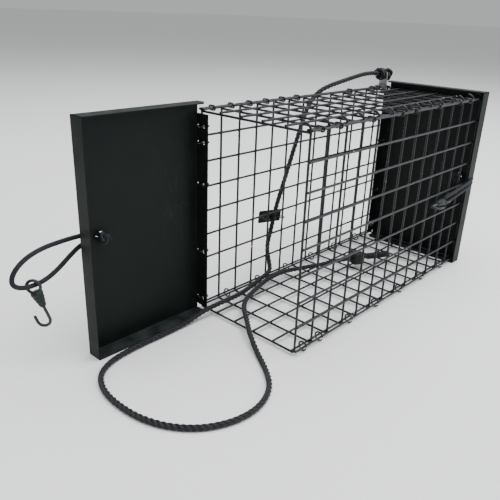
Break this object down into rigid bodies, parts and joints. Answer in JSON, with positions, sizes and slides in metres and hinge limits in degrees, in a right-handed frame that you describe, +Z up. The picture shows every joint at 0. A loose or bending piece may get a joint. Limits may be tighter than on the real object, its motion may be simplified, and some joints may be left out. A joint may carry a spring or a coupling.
{
  "type": "live catch trap",
  "caption": "Box trap of welded wire mesh with a folded sheet door hinged at each end, elastic cords with hooks that hold the doors, and a carrying rope laid through the open end.",
  "frame": {"origin": "middle of the surface that the trap stands on, at the centre of its outline without cords and rope", "axes": "+X along the cage from the open door to the closed door, +Y towards the side with the door hinges, +Z up"},
  "size_m": [0.536, 0.1733, 0.2309],
  "materials": {
    "mesh_wire": "satin black coating over welded wire",
    "clip_wire": "dark satin",
    "door_sheet": "satin black paint on folded sheet steel",
    "keeper_plate": "matt dark paint",
    "bungee_cord": "braided cover, matt",
    "hook_wire": "dark satin",
    "hook_sleeve": "moulded, matt",
    "rope": "twisted, slightly shiny strands",
    "tab_steel": "dull grey",
    "stop_block": "matt",
    "rope_whipping": "taped, satin"
  },
  "bodies": {
    "cage": {"back_mesh": "mesh_wire", "near_mesh": "mesh_wire", "floor_mesh": "mesh_wire", "top_mesh": "mesh_wire", "top_near_clips": "clip_wire", "top_back_clips": "clip_wire", "floor_near_clips": "clip_wire", "floor_back_clips": "clip_wire", "keeper_plate": "keeper_plate", "keeper_ties": "clip_wire", "rope_tab": "tab_steel", "rope_upper": "rope", "rope_laid": "rope", "rope_tail": "rope", "rope_knot": "rope", "rope_stop_block": "stop_block", "rope_whipping": "rope_whipping"},
    "left_door": {"left_door_tray": "door_sheet", "left_hinge_rings": "clip_wire", "left_bungee": "bungee_cord", "left_bungee_knot": "bungee_cord"},
    "left_hook_hanging": {"left_hook": "hook_wire", "left_hook_sleeve": "hook_sleeve"},
    "right_door": {"right_door_tray": "door_sheet", "right_hinge_rings": "clip_wire", "right_bungee": "bungee_cord", "right_bungee_knot": "bungee_cord", "right_hook": "hook_wire", "right_hook_sleeve": "hook_sleeve"}
  },
  "joints": [
    {"name": "left_door_hinge", "type": "hinge", "parent": "cage", "child": "left_door", "pos_m": [-0.101, 0.0598, 0.1067], "axis": [0, 0, 1], "range_deg": [-30, 90], "deforming": ["rope_laid"]},
    {"name": "right_door_hinge", "type": "hinge", "parent": "cage", "child": "right_door", "pos_m": [0.2292, 0.0598, 0.1067], "axis": [0, 0, 1], "range_deg": [0, 120]},
    {"name": "left_hook_swing", "type": "hinge", "parent": "left_door", "child": "left_hook_hanging", "pos_m": [-0.278, 0.0658, 0.0831], "axis": [1, 0, 0], "range_deg": [-25, 25]}
  ]
}
